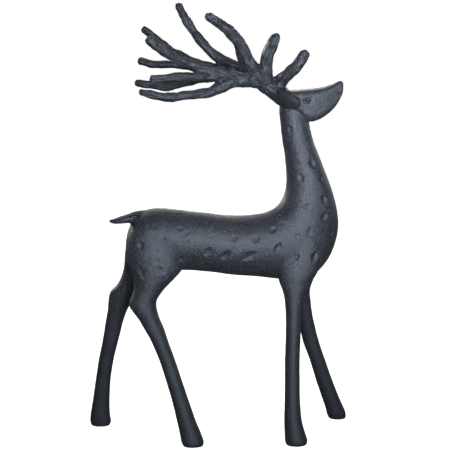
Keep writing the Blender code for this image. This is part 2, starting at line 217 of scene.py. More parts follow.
def add_leg(shell, rows, side, track):
    """A leg as level sections, splayed out to its own sole."""
    rings = []
    scale = (MM, MM, MM, side * track / 2, SHIN_WIDTH / 2)
    for z, back, front, y, half in curve_rows(np.array(rows) * scale, RING_GAP):
        centre, ahead = np.array(((back + front) / 2, y, z)), np.array(((front - back) / 2, 0, 0))
        rings.append(super_ring(centre, ahead, np.array((0, half, 0)), LEG_SIDES, LEG_SQUARENESS))
    add_loft(shell, rings)


add_leg(shell, NEAR_HIND, -1, HIND_TRACK)
add_leg(shell, FAR_HIND, 1, HIND_TRACK)
add_leg(shell, NEAR_FRONT, -1, FRONT_TRACK)
add_leg(shell, FAR_FRONT, 1, FRONT_TRACK)

# Tail: a short flat leaf of iron that leaves the rump level and ends in a blunt point.
# It is fused with trunk and legs here, and the joints are blended as the pattern maker filleted them.
# Stations: x, z, half thickness, share of the half width.
TAIL_WIDTH = 0.014
BLEND_GRID = 0.00125
BLEND_ROUNDS = 45
SMOOTH_IN, SMOOTH_OUT = 0.60, -0.61
LIMB_GAP = 2 * MM
LIMB_END_TURNS = (25, 50, 70, 84)
TAIL = (
    (-68, 226, 5.0, 1.00),
    (-80, 225.3, 4.8, 1.05),
    (-88, 222.8, 4.4, 1.05),
    (-95, 221.4, 3.9, 0.98),
    (-102, 220, 2.8, 0.76),
    (-107.2, 220, 1.6, 0.45),
)


def add_limb(shell, rows, upward, sides=16, hollow=0.0):
    """A round-ended limb through centres, with a half height and a half depth at each row.
    A hollow other than 0 sinks one of its two flat sides, which one by its sign."""
    rows = curve_rows(rows, LIMB_GAP)
    centres = rows[:, :3]
    run = np.gradient(centres, axis=0)
    run /= np.linalg.norm(run, axis=1)[:, None]
    rings = []
    for centre, ahead, (tall, deep) in zip(centres, run, rows[:, 3:]):
        up = np.array(upward) - ahead * np.dot(upward, ahead)
        up /= np.linalg.norm(up)
        ring = super_ring(centre, up * tall, np.cross(up, ahead) * deep, sides, 2)
        depth = (ring - centre) @ np.cross(up, ahead) / deep * np.sign(hollow)
        sink = abs(hollow) * np.clip(depth, 0, 1) ** 4 * deep * np.sign(hollow)
        rings.append(ring - np.outer(sink * depth, np.cross(up, ahead)))
    end, ahead = centres[-1], run[-1]
    for turn in LIMB_END_TURNS:
        shrink = math.cos(math.radians(turn))
        push = math.sin(math.radians(turn)) * min(rows[-1, 3:])
        rings.append(end + ahead * push + (rings[len(centres) - 1] - end) * shrink)
    add_loft(shell, rings)


def fuse(shell, name, grid):
    """Turn overlapping closed shells into one skin of small even faces."""
    bmesh.ops.recalc_face_normals(shell, faces=shell.faces)
    mesh = bpy.data.meshes.new(name)
    shell.to_mesh(mesh)
    shell.free()
    body = bpy.data.objects.new(name, mesh)
    bpy.context.collection.objects.link(body)
    skin = body.modifiers.new("skin", "REMESH")
    skin.mode = "VOXEL"
    skin.voxel_size = grid
    applied = bpy.data.meshes.new_from_object(body.evaluated_get(bpy.context.evaluated_depsgraph_get()))
    body.modifiers.clear()
    body.data = applied
    return body


def read_points(mesh, field="co"):
    """The positions or normals of a mesh as rows."""
    values = np.empty(len(mesh.vertices) * 3)
    mesh.vertices.foreach_get(field, values)
    return values.reshape(-1, 3)


def neighbour_mean(mesh):
    """A function that averages each point's value over the points it shares an edge with."""
    count = len(mesh.vertices)
    ends = np.empty(len(mesh.edges) * 2, int)
    mesh.edges.foreach_get("vertices", ends)
    a, b = ends[0::2], ends[1::2]
    weight = np.maximum(np.bincount(a, minlength=count) + np.bincount(b, minlength=count), 1)

    def mean(values):
        return (np.bincount(a, values[b], count) + np.bincount(b, values[a], count)) / weight
    return mean


def soften(mesh, rounds, give=1.0):
    """Round the creases of a mesh without shrinking it, by smoothing in and out in turn."""
    points = read_points(mesh)
    mean = neighbour_mean(mesh)
    for step in range(rounds * 2):
        pull = np.column_stack([mean(points[:, k]) for k in range(3)]) - points
        points += pull * np.reshape(give, (-1, 1)) * (SMOOTH_OUT if step % 2 else SMOOTH_IN)
    mesh.vertices.foreach_set("co", points.ravel())
    mesh.update()


tail = np.array([(x, 0, z, tall, share) for x, z, tall, share in TAIL])
add_limb(shell, tail * (MM, 0, MM, MM, TAIL_WIDTH / 2), (0, 0, 1))
trunk = fuse(shell, "trunk", BLEND_GRID)
soften(trunk.data, BLEND_ROUNDS)
shell = bmesh.new()
shell.from_mesh(trunk.data)
bpy.data.objects.remove(trunk, do_unlink=True)

# Head: a flat-sided half disc with a level crown and rounded edges, thinner towards the raised nose.
# It is cast in one with the neck and set on it like a slab, with a step at the throat.
# Stations: x, jaw height, crown height, share of the width.
HEAD_WIDTH = 0.027
HEAD_RING_GAP = 1.5 * MM
HEAD_SIDES, HEAD_SQUARENESS = 72, 4.4
HEAD = (
    (57, 337, 343.7, 0.70),
    (63, 331, 347.2, 0.92),
    (71, 330, 348.2, 1.00),
    (78, 327, 348.2, 1.00),
    (84, 320.8, 348.7, 0.99),
    (90, 317.6, 349.2, 0.96),
    (96, 318.4, 349.7, 0.91),
    (102, 320.9, 350.5, 0.83),
    (108, 325, 351.9, 0.73),
    (113, 329.4, 353.7, 0.62),
    (117, 334.3, 355.7, 0.51),
    (120, 339.5, 357.1, 0.42),
    (122.3, 344, 356.7, 0.34),
    (123.2, 348.5, 354, 0.24),
)

rings = []
for x, jaw, crown, half in curve_rows(np.array(HEAD) * (MM, MM, MM, HEAD_WIDTH / 2), HEAD_RING_GAP):
    rings.append(super_ring(np.array((x, 0, (jaw + crown) / 2)), np.array((0, 0, (crown - jaw) / 2)),
                            np.array((0, half, 0)), HEAD_SIDES, HEAD_SQUARENESS))
add_loft(shell, rings)

# Ears: two thick iron leaves on the back corners of the head, pointing sideways and forwards.
# Each leans out over its own hollow, which faces down and outwards.
# Stations: x, distance from the middle, z, half breadth, share of the half thickness.
EAR_THICKNESS = 0.0135
EAR = (
    (56.5, 10, 344.5, 6.5, 0.90),
    (60, 15, 343.6, 8.8, 1.00),
    (64, 19.5, 342.4, 9.6, 1.05),
    (68.5, 23.5, 340.6, 9.0, 1.00),
    (72.5, 26, 338.6, 7.0, 0.85),
)
EAR_TILT, EAR_LEAN = -0.1, 0.6
EAR_HOLLOW = 0.2
EAR_SIDES = 28

for side in (-1, 1):
    add_limb(shell, np.array(EAR) * (MM, side * MM, MM, MM, EAR_THICKNESS / 2),
             (EAR_TILT, side * EAR_LEAN, 1), EAR_SIDES, side * EAR_HOLLOW)

# Antlers: on each side one beam swept level back from the crown and five points that branch upwards.
# They are round iron rods with blunt ends that swell at uneven knots, all cast with the head.
# Stations: x, share of the half spread, z, radius; each beam comes first, then its points.
ANTLER_SPREAD = 0.086
KNOT_SWELL = 0.055
KNOT_GAP = 15.0
ANTLER_SIDES = 24
NEAR_ANTLER = (
    ((66, 0.10, 340, 8.6), (56, 0.17, 347, 9.0), (48.5, 0.24, 353.5, 9.0), (38, 0.33, 359, 8.2),
     (19, 0.47, 361, 7.6), (7, 0.55, 358.4, 7.2), (-4, 0.63, 352.6, 5.9), (-13, 0.71, 349.7, 5.3),
     (-35, 0.84, 347.7, 4.5), (-54, 0.93, 346.8, 4.6), (-76, 1.00, 352, 3.8)),
    ((56, 0.18, 350, 7.4), (62.4, 0.24, 359.2, 6.2), (68.3, 0.33, 366.2, 5.9),
     (74.4, 0.42, 372.2, 5.9), (78.4, 0.45, 378.2, 5.6), (82, 0.47, 385, 4.9)),
    ((44, 0.33, 358, 8.0), (44.5, 0.42, 373, 6.5), (46.3, 0.47, 384, 6.4), (49.5, 0.51, 393, 5.8),
     (53.4, 0.56, 401, 4.9)),
    ((40, 0.34, 358, 8.0), (30.0, 0.47, 373.5, 7.7), (23.4, 0.54, 384.5, 7.1),
     (18.1, 0.63, 396.5, 6.4), (8.6, 0.72, 407.8, 5.7), (-3.6, 0.81, 417.5, 4.9),
     (-11.2, 0.86, 422.8, 4.4)),
    ((18, 0.47, 361, 6.0), (-5, 0.63, 369.6, 4.7), (-30, 0.77, 377.5, 4.6), (-47, 0.88, 385.2, 4.2),
     (-54, 0.93, 389.3, 4.1), (-63, 0.98, 395.7, 4.0), (-69, 1.00, 401.3, 3.8)),
    ((5, 0.57, 363.4, 4.8), (-12, 0.71, 365, 4.5), (-30, 0.83, 366, 4.4), (-44, 0.91, 366.2, 4.2),
     (-54, 0.95, 365.2, 4.1), (-66, 1.00, 364.7, 3.8)),
)
FAR_ANTLER = (
    ((66, 0.10, 340, 8.6), (56, 0.17, 348, 8.8), (44, 0.28, 356, 8.4), (26, 0.47, 361, 7.4),
     (9, 0.60, 362, 6.2), (-2, 0.67, 359.5, 5.4), (-16, 0.74, 357.3, 5.0), (-31, 0.84, 353.5, 5.0),
     (-50, 0.93, 349, 4.8), (-77.4, 1.00, 352.2, 3.8)),
    ((56, 0.30, 350, 7.0), (61, 0.31, 356.5, 5.8), (68, 0.33, 362, 5.2), (75, 0.35, 367, 4.7)),
    ((48, 0.33, 358, 7.6), (49.5, 0.46, 371, 6.1), (51, 0.56, 383, 6.0), (55, 0.63, 391.5, 5.4),
     (58.5, 0.70, 397.5, 4.7)),
    ((40, 0.37, 357, 7.4), (25, 0.47, 367, 6.2), (16.5, 0.54, 371.5, 5.7), (1, 0.65, 379, 5.3),
     (-12.2, 0.74, 391.5, 5.0), (-21.6, 0.84, 403, 4.8), (-29.2, 0.89, 415, 4.7),
     (-35.8, 0.93, 428, 4.2)),
    ((22, 0.49, 361, 6.0), (-5, 0.70, 368.4, 5.0), (-23, 0.79, 373.4, 4.8), (-34, 0.86, 379.7, 4.6),
     (-46, 0.91, 386, 4.4), (-61.5, 0.98, 398.5, 4.1), (-70, 1.00, 405.2, 3.8)),
    ((0, 0.66, 361, 5.4), (-15, 0.74, 365, 4.6), (-28, 0.83, 369.8, 4.2), (-47, 0.93, 371, 4.2),
     (-63, 1.00, 371, 4.1), (-74, 1.02, 374, 3.8)),
)


def antler_rows(tine, number, side):
    """A tine's centres, half heights and half depths, and how far along it each row is."""
    rows = np.array([(x, share, z, r, r) for x, share, z, r in tine])
    rows = curve_rows(rows * (MM, side * ANTLER_SPREAD / 2, MM, MM, MM), LIMB_GAP)
    run = np.append(0, np.cumsum(np.linalg.norm(np.diff(rows[:, :3], axis=0), axis=1)))
    wave = 2 * math.pi * run / (KNOT_GAP * MM)
    rows[:, 3] *= 1 + KNOT_SWELL * np.sin(wave + 2.1 * number + side)
    rows[:, 4] *= 1 + KNOT_SWELL * np.sin(0.62 * wave + 1.3 * number - side)
    return rows, run


TINES = [(tine, number, side) for side, tines in ((-1, NEAR_ANTLER), (1, FAR_ANTLER))
         for number, tine in enumerate(tines)]
for tine, number, side in TINES:
    add_limb(shell, antler_rows(tine, number, side)[0], (0, 1, 0), ANTLER_SIDES)

# The whole casting: trunk, head, ears, tail, legs and antlers as one skin of iron.
# It is fused again on a fine grid with tight fillets, and set over the middle of the part's box.
# The head is eased less than the rest, which keeps its sides flat and its edges crisp.
SKIN_GRID = 0.0007
SKIN_ROUNDS = 16
HEAD_GIVE = 0.6
SLAB_FROM_X, SLAB_FADE_X = 76, 8
SLAB_FROM_Z, SLAB_FADE_Z = 316, 2
FLOOR_SNAP = 0.1 * MM
stag = fuse(shell, "stag_casting", SKIN_GRID)
points = read_points(stag.data)
slab = (np.clip((points[:, 0] / MM - SLAB_FROM_X) / SLAB_FADE_X, 0, 1)
        * np.clip((points[:, 2] / MM - SLAB_FROM_Z) / SLAB_FADE_Z, 0, 1))
soften(stag.data, SKIN_ROUNDS, 1 - (1 - HEAD_GIVE) * slab)
points = read_points(stag.data)
floor_points = np.abs(points[:, 2]) < FLOOR_SNAP
points[floor_points, 2] = 0
above = points[points[:, 2] >= 0]
middle = np.append((above.max(0) + above.min(0))[:2] / 2, 0)
stag.data.vertices.foreach_set("co", (points - middle).ravel())
stag.data.update()

# Eyes: one almond groove on each cheek, cut with a gouge round a low lid and open towards the nose.
# They are part of the casting. Deepest at the back corner, and fading out at the front.
EYE_X, EYE_Z = 87.5 * MM, 339.5 * MM
EYE_LENGTH, EYE_HEIGHT = 4.6 * MM, 2.9 * MM
EYE_DEPTH = 0.0014
LID_RISE = 0.0005
GROOVE_PLACE, GROOVE_SPREAD, LID_SPREAD = 0.85, 0.26, 0.45
points, normals = read_points(stag.data), read_points(stag.data, "normal")
cheek = np.clip(np.abs(normals[:, 1]) * 3 - 1.5, 0, 1)
long = (points[:, 0] + middle[0] - EYE_X) / EYE_LENGTH
tall = (points[:, 2] - EYE_Z) / EYE_HEIGHT
ring = np.hypot(long, tall)
open_front = 0.25 + 0.75 * np.clip(0.75 - long / np.maximum(ring, 0.01), 0, 1)
groove = EYE_DEPTH * open_front * np.exp(-((ring - GROOVE_PLACE) / GROOVE_SPREAD) ** 2)
lid = LID_RISE * np.exp(-(ring / LID_SPREAD) ** 4)
points += normals * ((lid - groove) * cheek)[:, None]
stag.data.vertices.foreach_set("co", points.ravel())
stag.data.update()
coating = bpy.data.materials.new("black_cast_iron")
stag.data.materials.append(coating)

# Tool marks: leaf-shaped dents that the pattern maker pressed into flanks, haunches and neck.
# Both sides carry the same rows. A ray drops each mark on the skin, and the nearest one dents it.
# Marks: x, z, slope in degrees, length, share of the depth.
MARK_WIDTH = 0.0047
MARK_DEPTH = 0.0015
MARK_RIM = 0.00014
MARK_FULLNESS, MARK_GROWTH = 0.34, 40.0
MARK_START_SIDE = 0.2
MARKS = (
    (-41, 228, 0, 8, 0.4), (-17, 221, 0, 9, 0.9), (-1, 229, 10, 6, 0.6), (11, 224, 0, 8, 0.6),
    (-64, 218, 30, 6, 0.5), (-40, 216, 20, 7, 0.6), (-36, 210, 30, 8, 0.5), (-57, 205, 60, 8, 0.55),
    (-8, 208, 20, 8, 0.4), (12, 206, 20, 9, 0.7), (35, 204, 30, 8, 0.9), (-33, 202, 40, 6, 0.4),
    (-13, 193, 45, 10, 0.9), (4, 189, 40, 12, 1.1), (28, 188, 28, 16, 1.1), (-40, 186, 50, 8, 0.6),
    (-78, 200, -85, 9, 1.0), (-63, 185, 60, 7, 0.45), (-78, 175, -80, 10, 1.0), (-61, 176, 65, 8, 0.5),
    (52, 213, 50, 8, 0.7), (61, 227, 50, 8, 0.7), (53, 230, 30, 6, 0.6), (56, 196, 60, 10, 1.0),
    (76, 207, 45, 6, 0.6), (75, 186, 60, 6, 0.8), (69, 311, -60, 8, 0.8), (88, 301, -70, 8, 1.1),
    (91, 278, -65, 11, 1.5), (80, 264, -60, 9, 1.1), (101, 262, -85, 8, 1.4), (103, 242, 90, 9, 1.3),
    (84, 236, 60, 6, 0.7), (103, 225, 65, 10, 1.5), (88, 211, 70, 9, 0.5), (93, 186, 60, 12, 1.5),
    (111, 208, 75, 7, 0.7),
)


class Wire:
    """One output of a node. Arithmetic on it adds Math or Vector Math nodes to its tree."""

    def __init__(self, socket):
        self.socket = socket

    @staticmethod
    def add(tree, kind, settings, inputs, output=0):
        """Any node: its type, its settings, then the value or link of each input."""
        node = tree.nodes.new(kind)
        for name, value in settings.items():
            setattr(node, name, value)
        for name, value in inputs.items():
            socket = node.inputs[name] if isinstance(name, int) else next(
                s for s in node.inputs if s.name == name and s.enabled)
            if isinstance(value, Wire):
                tree.links.new(value.socket, socket)
            else:
                socket.default_value = value
        if isinstance(output, int):
            return Wire(node.outputs[output])
        return Wire(next(s for s in node.outputs if s.name == output and s.enabled))

    @staticmethod
    def is_vector(value):
        """True for three numbers, or a wire that carries them."""
        return value.socket.type == "VECTOR" if isinstance(value, Wire) else isinstance(value, tuple)

    def maths(self, operation, *values):
        """A Math node, or a Vector Math node where any value is a vector."""
        both = (self, *values)
        vector = any(map(self.is_vector, both))
        kind = "ShaderNodeVectorMath" if vector else "ShaderNodeMath"
        output = "Value" if vector and operation in ("DOT_PRODUCT", "LENGTH") else 0
        return Wire.add(self.socket.id_data, kind, {"operation": operation}, dict(enumerate(both)), output)

    def swapped(self, operation, first):
        """A Math node with the plain number in front, for 1 - mask and the like."""
        return Wire.add(self.socket.id_data, "ShaderNodeMath", {"operation": operation},
                        {0: first, 1: self})

    def __add__(self, other):
        return self.maths("ADD", other)

    def __sub__(self, other):
        return self.maths("SUBTRACT", other)

    def __mul__(self, other):
        if self.is_vector(self) == self.is_vector(other):
            return self.maths("MULTIPLY", other)
        return Wire.add(self.socket.id_data, "ShaderNodeVectorMath", {"operation": "SCALE"},
                        {0: self, "Scale": other})

    def __truediv__(self, other):
        return self.maths("DIVIDE", other)

    def __pow__(self, other):
        return self.maths("POWER", other)

    def __neg__(self):
        return self * -1.0

    def __radd__(self, other):
        return self.swapped("ADD", other)

    def __rsub__(self, other):
        return self.swapped("SUBTRACT", other)


def new_tree(name, inputs):
    """A Geometry Nodes tree with named inputs, and those inputs as wires."""
    tree = bpy.data.node_groups.new(name, "GeometryNodeTree")
    for label, kind in inputs.items():
        tree.interface.new_socket(label, in_out="INPUT", socket_type="NodeSocket" + kind)
    tree.interface.new_socket("Geometry", in_out="OUTPUT", socket_type="NodeSocketGeometry")
    source = tree.nodes.new("NodeGroupInput")
    return tree, {label: Wire(source.outputs[label]) for label in inputs}


def end_tree(tree, geometry, finish):
    """Close a tree with real geometry that wears its finish."""
    real = Wire.add(tree, "GeometryNodeRealizeInstances", {}, {"Geometry": geometry})
    worn = Wire.add(tree, "GeometryNodeSetMaterial", {}, {"Geometry": real, "Material": finish})
    tree.links.new(worn.socket, tree.nodes.new("NodeGroupOutput").inputs[0])


def run_tree(body, tree, values):
    """Run a tree over a piece with these inputs, and keep the result as its plain mesh."""
    step = body.modifiers.new(tree.name, "NODES")
    step.node_group = tree
    for item in tree.interface.items_tree:
        if item.name in values:
            step[item.identifier] = values[item.name]
    result = bpy.data.meshes.new_from_object(body.evaluated_get(bpy.context.evaluated_depsgraph_get()))
    body.modifiers.clear()
    body.data = result


def point_cloud(name, places, **columns):
    """Loose points with a number or a direction kept on each, for a tree to read."""
    mesh = bpy.data.meshes.new(name)
    mesh.from_pydata([tuple(p) for p in places], [], [])
    for label, values in columns.items():
        values = np.array(values, np.float32)
        kind = "FLOAT_VECTOR" if values.ndim == 2 else "FLOAT"
        column = mesh.attributes.new(label, kind, "POINT")
        column.data.foreach_set("vector" if values.ndim == 2 else "value", values.ravel())
    cloud = bpy.data.objects.new(name, mesh)
    bpy.context.collection.objects.link(cloud)
    return cloud


def read_column(tree, label, kind="FLOAT"):
    """A named column of the geometry that a node works on."""
    return Wire.add(tree, "GeometryNodeInputNamedAttribute", {"data_type": kind}, {"Name": label},
                    "Attribute")


tree, given = new_tree("press_tool_marks", {
    "Geometry": "Geometry", "Marks": "Object", "Width": "Float", "Depth": "Float", "Rim": "Float",
    "Finish": "Material"})
place = Wire.add(tree, "GeometryNodeInputPosition", {}, {})
face = Wire.add(tree, "GeometryNodeInputNormal", {}, {})
marks = Wire.add(tree, "GeometryNodeObjectInfo", {}, {"Object": given["Marks"]}, "Geometry")
inward = read_column(tree, "inward", "FLOAT_VECTOR")
ray = {"Target Geometry": given["Geometry"], "Ray Direction": inward, "Ray Length": 1.0}
hit = Wire.add(tree, "GeometryNodeRaycast", {}, ray, "Hit Position")
lean = Wire.add(tree, "GeometryNodeRaycast", {}, ray, "Hit Normal")
marks = Wire.add(tree, "GeometryNodeStoreNamedAttribute", {"data_type": "FLOAT_VECTOR"},
                 {"Geometry": marks, "Name": "lean", "Value": lean})
marks = Wire.add(tree, "GeometryNodeSetPosition", {}, {"Geometry": marks, "Position": hit})
nearest = Wire.add(tree, "GeometryNodeSampleNearest", {}, {"Geometry": marks})


def at_mark(value, kind):
    """A value of the nearest mark."""
    return Wire.add(tree, "GeometryNodeSampleIndex", {"data_type": kind},
                    {"Geometry": marks, "Value": value, "Index": nearest})


away = place - at_mark(place, "FLOAT_VECTOR")
lean = at_mark(read_column(tree, "lean", "FLOAT_VECTOR"), "FLOAT_VECTOR")
heading = at_mark(read_column(tree, "heading", "FLOAT_VECTOR"), "FLOAT_VECTOR")
along = (heading - lean * heading.maths("DOT_PRODUCT", lean)).maths("NORMALIZE")
across = lean.maths("CROSS_PRODUCT", along)
half_length = at_mark(read_column(tree, "half_length"), "FLOAT")
reach = away.maths("DOT_PRODUCT", along) / half_length
off = away.maths("DOT_PRODUCT", across) / (given["Width"] * (half_length * MARK_GROWTH + MARK_FULLNESS))
taper = (1.15 - reach ** 2.0).maths("MAXIMUM", 0.12)
leaf = reach ** 4.0 + (off / taper) ** 2.0
dent = (-leaf).maths("EXPONENT") * (reach * 0.25 + 0.75) * given["Depth"]
edge = (leaf - 2.0).maths("ABSOLUTE")
rim = (-(edge * edge)).maths("EXPONENT") * given["Rim"]
same_side = (face.maths("DOT_PRODUCT", lean) - 0.2).maths("MULTIPLY", 3.0)
same_side = Wire.add(tree, "ShaderNodeClamp", {}, {"Value": same_side})
push = (rim - dent) * at_mark(read_column(tree, "strength"), "FLOAT") * same_side
moved = Wire.add(tree, "GeometryNodeSetPosition", {},
                 {"Geometry": given["Geometry"], "Offset": face * push})
end_tree(tree, moved, given["Finish"])

slopes = [math.radians(slope) for x, z, slope, length, share in MARKS for side in (-1, 1)]
mark_cloud = point_cloud(
    "mark_cloud",
    [np.array((x * MM, side * MARK_START_SIDE, z * MM)) - middle
     for x, z, *rest in MARKS for side in (-1, 1)],
    inward=[(0, -side, 0) for mark in MARKS for side in (-1, 1)],
    heading=[(math.cos(slope), 0, math.sin(slope)) for slope in slopes],
    half_length=[length * MM / 2 for x, z, slope, length, share in MARKS for side in (-1, 1)],
    strength=[share for *rest, share in MARKS for side in (-1, 1)])
run_tree(stag, tree, {"Marks": mark_cloud, "Width": MARK_WIDTH, "Depth": MARK_DEPTH, "Rim": MARK_RIM,
                      "Finish": coating})
bpy.data.objects.remove(mark_cloud, do_unlink=True)

# Antler bark: flutes, ridges and lumps that run along each tine, and a shallow unevenness of the
# whole casting from the sand mould. The nearest tine's core gives the direction of the grain.
BARK_FLUTE = 0.0013
BARK_RIDGE = 0.0009
BARK_LUMP = 0.0009
BARK_GROOVE = 0.0008
SAND_SWELL = 0.00025
FLUTE_CELL = (0.0036, 0.0036, 0.040)
RIDGE_CELL = (0.0019, 0.0019, 0.009)
LUMP_CELL = (0.008, 0.008, 0.009)
GROOVE_CELL = (0.0045, 0.0045, 0.035)
GROOVE_SHARE = 0.16
SAND_CELL = 0.009
BARK_FROM_Z = 0.352
BARK_FROM_X, BARK_FADE_X = 60, 8
tree, given = new_tree("grow_antler_bark", {
    "Geometry": "Geometry", "Cores": "Object", "Flute": "Float", "Ridge": "Float", "Lump": "Float",
    "Groove": "Float", "Swell": "Float", "Finish": "Material"})
place = Wire.add(tree, "GeometryNodeInputPosition", {}, {})
face = Wire.add(tree, "GeometryNodeInputNormal", {}, {})
cores = Wire.add(tree, "GeometryNodeObjectInfo", {}, {"Object": given["Cores"]}, "Geometry")
nearest = Wire.add(tree, "GeometryNodeSampleNearest", {}, {"Geometry": cores})


def at_core(value, kind="FLOAT"):
    """A value of the nearest point of an antler's core."""
    return Wire.add(tree, "GeometryNodeSampleIndex", {"data_type": kind},
                    {"Geometry": cores, "Value": value, "Index": nearest})


def noise_field(vector, cell, seed, detail=2.0):
    """Smooth noise between -1 and 1, with cells of this size in metres."""
    value = Wire.add(tree, "ShaderNodeTexNoise", {"noise_dimensions": "4D"}, {
        "Vector": vector * tuple(1 / size for size in cell), "W": seed, "Scale": 1.0, "Detail": detail}, 0)
    return (value - 0.5) * 2.0


away = place - at_core(place, "FLOAT_VECTOR")
ahead = at_core(read_column(tree, "ahead", "FLOAT_VECTOR"), "FLOAT_VECTOR")
travel = away.maths("DOT_PRODUCT", ahead)
spoke = away - ahead * travel
out = Wire.add(tree, "ShaderNodeVectorMath", {"operation": "CROSS_PRODUCT"}, {0: ahead, 1: (0, 1, 0)})
out = out.maths("NORMALIZE")
over = ahead.maths("CROSS_PRODUCT", out)
grain = Wire.add(tree, "ShaderNodeCombineXYZ", {}, {
    0: spoke.maths("DOT_PRODUCT", out), 1: spoke.maths("DOT_PRODUCT", over),
    2: travel + at_core(read_column(tree, "run"))})
tine = at_core(read_column(tree, "tine"))
girth = at_core(read_column(tree, "girth"))
near = Wire.add(tree, "ShaderNodeMapRange", {"interpolation_type": "SMOOTHSTEP"}, {
    "Value": spoke.maths("LENGTH") / girth, "From Min": 2.0, "From Max": 1.5})
rooted = at_core(read_column(tree, "rooted"))
bark = (noise_field(grain, FLUTE_CELL, tine) * given["Flute"]
        + noise_field(grain, RIDGE_CELL, tine) * given["Ridge"]
        + noise_field(grain, LUMP_CELL, tine) * given["Lump"])
groove = noise_field(grain, GROOVE_CELL, tine + 20.0, 1.0).maths("ABSOLUTE")
groove = Wire.add(tree, "ShaderNodeMapRange", {"interpolation_type": "SMOOTHSTEP"}, {
    "Value": groove, "From Min": GROOVE_SHARE, "From Max": 0.0})
bark = bark - groove * given["Groove"]
bark = Wire.add(tree, "GeometryNodeBlurAttribute", {}, {0: bark * near * rooted, "Iterations": 1})
swell = noise_field(place, (SAND_CELL, SAND_CELL, SAND_CELL), 3.0, 3.0) * given["Swell"]
moved = Wire.add(tree, "GeometryNodeStoreNamedAttribute", {"data_type": "FLOAT", "domain": "POINT"},
                 {"Geometry": given["Geometry"], "Name": "barked", "Value": near * rooted})
moved = Wire.add(tree, "GeometryNodeSetPosition", {}, {"Geometry": moved, "Offset": face * (bark + swell)})
end_tree(tree, moved, given["Finish"])

core_rows = []
for tine, number, side in TINES:
    rows, run = antler_rows(tine, number, side)
    ahead = np.gradient(rows[:, :3], axis=0)
    ahead /= np.linalg.norm(ahead, axis=1)[:, None]
    tip = rows[-1, :3] + ahead[-1] * rows[-1, 3]
    label = number + len(NEAR_ANTLER) * (side > 0)
    core_rows += [(*row[:3] - middle, *step, at, row[3], label)
                  for row, step, at in zip(rows, ahead, run)]
    core_rows.append((*tip - middle, *ahead[-1], run[-1] + rows[-1, 3], rows[-1, 3], label))
core_rows = np.array(core_rows)
core_x = (core_rows[:, 0] + middle[0]) / MM
core_cloud = point_cloud(
    "core_cloud", core_rows[:, :3], ahead=core_rows[:, 3:6], run=core_rows[:, 6], girth=core_rows[:, 7],
    tine=core_rows[:, 8] * 3.7,
    rooted=np.where(core_rows[:, 2] > BARK_FROM_Z, 1,
                    np.clip((BARK_FROM_X - core_x) / BARK_FADE_X, 0, 1)))
run_tree(stag, tree, {"Cores": core_cloud, "Flute": BARK_FLUTE, "Ridge": BARK_RIDGE, "Lump": BARK_LUMP,
                      "Groove": BARK_GROOVE, "Swell": SAND_SWELL, "Finish": coating})
bpy.data.objects.remove(core_cloud, do_unlink=True)

# Feet and facets: the four feet are ground flat so that the stag stands, and the legs' last stations
# give them a worn rim. The skin is then thinned where it is nearly flat, which leaves the small
# faces to the relief.
FACETS = 190000
work = bmesh.new()
work.from_mesh(stag.data)
cut = bmesh.ops.bisect_plane(work, geom=work.verts[:] + work.edges[:] + work.faces[:], dist=0.001 * MM,
                             plane_co=(0, 0, 0), plane_no=(0, 0, -1), clear_outer=True)
rims = [e for e in cut["geom_cut"] if isinstance(e, bmesh.types.BMEdge)]
bmesh.ops.holes_fill(work, edges=rims)
bmesh.ops.triangulate(work, faces=[f for f in work.faces if len(f.verts) > 4])
bmesh.ops.recalc_face_normals(work, faces=work.faces)
work.to_mesh(stag.data)
work.free()
thin = stag.modifiers.new("facets", "DECIMATE")
thin.ratio = FACETS / sum(len(p.vertices) - 2 for p in stag.data.polygons)
stag.data = bpy.data.meshes.new_from_object(stag.evaluated_get(bpy.context.evaluated_depsgraph_get()))
stag.modifiers.clear()
for face in stag.data.polygons:
    face.use_smooth = True

# Black coating: a matte charcoal paint over the iron, with a fine pale speckle of sand grain.
# It is painted lighter on ridges as a highlight, and darker and duller in the hollows and the ears
# as painted shade. Low on the legs it is smoother and duller.
IRON_DARK = (0.0075, 0.0078, 0.0100, 1)
IRON_PALE = (0.0410, 0.0465, 0.0590, 1)
HOLLOW_ROUNDS = 3
HOLLOW_DEPTH = 0.00006
LOW_DOWN_FROM, LOW_DOWN_TO = 0.17, 0.09
BUMP_HEIGHT = 0.0005
# The box round each ear, where the ear is painted dark and dull as shade.
EAR_SHADE_X, EAR_SHADE_TOP, EAR_SHADE_LENGTH = 66 * MM, 352 * MM, 24 * MM
EAR_SHADE_START, EAR_SHADE_FADE = 12 * MM, 3 * MM
points, normals = read_points(stag.data), read_points(stag.data, "normal")
mean = neighbour_mean(stag.data)
bend = np.column_stack([mean(points[:, k]) for k in range(3)]) - points
hollow = (bend * normals).sum(1)
for step in range(HOLLOW_ROUNDS):
    hollow = mean(hollow)
hollow = np.clip(hollow / HOLLOW_DEPTH, -1, 1)
barked = np.empty(len(points), np.float32)
stag.data.attributes["barked"].data.foreach_get("value", barked)
# Painted shade in the hollows is kept in full on the antler bark and halved elsewhere.
hollow[hollow > 0] *= 0.5 + 0.5 * barked[hollow > 0]
# The ears are painted as deep shade, darker and duller, beyond 12 mm out from the middle.
in_ear = np.abs(points[:, 0] + middle[0] - EAR_SHADE_X) < EAR_SHADE_LENGTH / 2
in_ear &= (points[:, 2] < EAR_SHADE_TOP) & (points[:, 2] > EAR_SHADE_TOP - EAR_SHADE_LENGTH)
ear_shade = np.clip((np.abs(points[:, 1]) - EAR_SHADE_START) / EAR_SHADE_FADE, 0, 1)
hollow = np.maximum(hollow, in_ear * ear_shade)
column = stag.data.attributes.new("hollow", "FLOAT", "POINT")
column.data.foreach_set("value", hollow.astype(np.float32))

coating.use_nodes = True
tree = coating.node_tree
shade = tree.nodes["Principled BSDF"]
spot = Wire.add(tree, "ShaderNodeTexCoord", {}, {}, "Object")


def paint_noise(cells, detail):
    """Noise between 0 and 1 over the piece, with this many cells to the metre."""
    return Wire.add(tree, "ShaderNodeTexNoise", {"noise_dimensions": "3D"},
                    {"Vector": spot, "Scale": cells, "Detail": detail}, 0)


